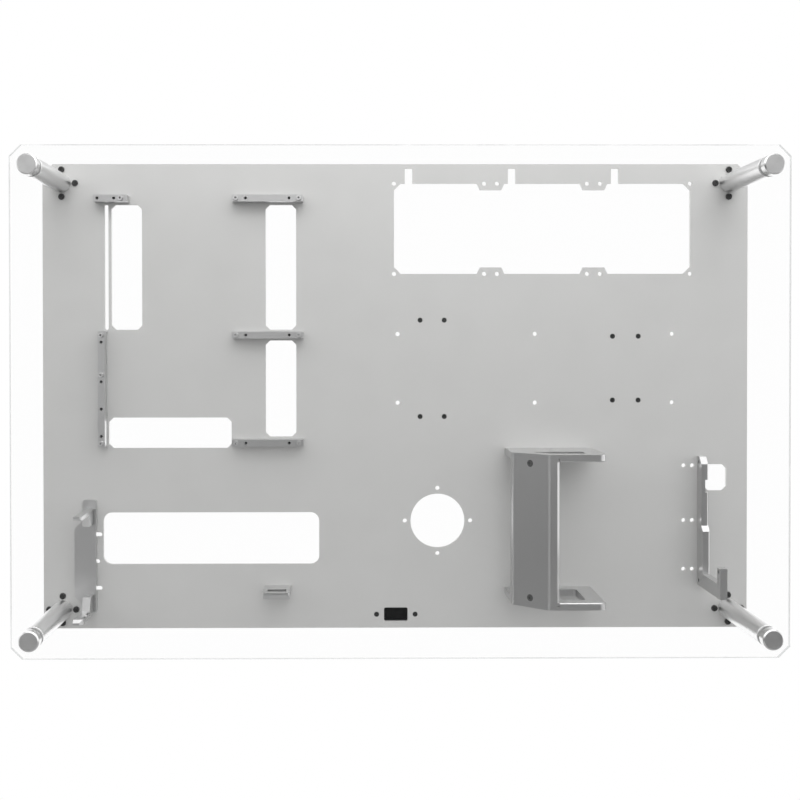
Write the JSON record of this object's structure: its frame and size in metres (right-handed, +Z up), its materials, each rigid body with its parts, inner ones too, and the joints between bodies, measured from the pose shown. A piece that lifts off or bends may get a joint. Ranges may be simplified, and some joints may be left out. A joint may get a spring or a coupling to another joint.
{
  "type": "wall-mount computer case",
  "caption": "Open wall-hung computer case: a slotted metal sheet on posts behind a clear panel, with a power supply cradle, graphics card holder and board stand-offs.",
  "frame": {"origin": "on the wall, at the middle of the four wall-screw holes in the backs of the feet", "axes": "+X to the right as seen from the room, +Z up, -Y out from the wall into the room"},
  "size_m": [0.82, 0.193, 0.54],
  "materials": {
    "sheet": "bead blasted, clear anodised",
    "clear_panel": "clear acrylic, polished edges",
    "turned_metal": "turned and bead blasted",
    "milled_metal": "milled, bead blasted, clear anodised",
    "standoff_metal": "turned",
    "washer_rubber": "matte",
    "black_screw": "black oxide, satin",
    "black_plastic": "moulded, matte"
  },
  "bodies": {
    "root": {"back_plate": "sheet", "front_panel": "clear_panel", "wall_foot_upper_left": "turned_metal", "wall_foot_upper_right": "turned_metal", "wall_foot_lower_left": "turned_metal", "wall_foot_lower_right": "turned_metal", "post_upper_left": "turned_metal", "post_upper_right": "turned_metal", "post_lower_left": "turned_metal", "post_lower_right": "turned_metal", "post_cap_upper_left": "turned_metal", "post_cap_upper_right": "turned_metal", "post_cap_lower_left": "turned_metal", "post_cap_lower_right": "turned_metal", "rear_washers": "washer_rubber", "front_washers": "washer_rubber", "flange_screws": "black_screw", "board_rail_corner": "milled_metal", "board_rail_lower": "milled_metal", "board_rail_middle": "milled_metal", "board_rail_side": "milled_metal", "board_rail_upper": "milled_metal", "board_standoffs": "standoff_metal", "rail_screws": "black_screw", "psu_shelf_top": "milled_metal", "psu_shelf_bottom": "milled_metal", "psu_shelf_screws": "black_screw", "psu_cover": "milled_metal", "psu_cover_cleats": "milled_metal", "psu_cover_screws": "black_screw", "psu_end_bracket": "milled_metal", "psu_end_bracket_screws": "black_screw", "gpu_base": "milled_metal", "gpu_clip_top": "milled_metal", "gpu_clip_bottom": "milled_metal", "gpu_clip_screws": "black_screw", "gpu_base_screws": "black_screw", "gpu_support_shelf": "milled_metal", "gpu_support_screws": "black_screw", "disk_rail_upper": "milled_metal", "disk_rail_lower": "milled_metal", "ssd_rail_upper": "milled_metal", "ssd_rail_lower": "milled_metal", "drive_rail_screws": "black_screw", "socket_insert": "black_plastic", "socket_insert_screws": "black_screw"}
  },
  "joints": []
}
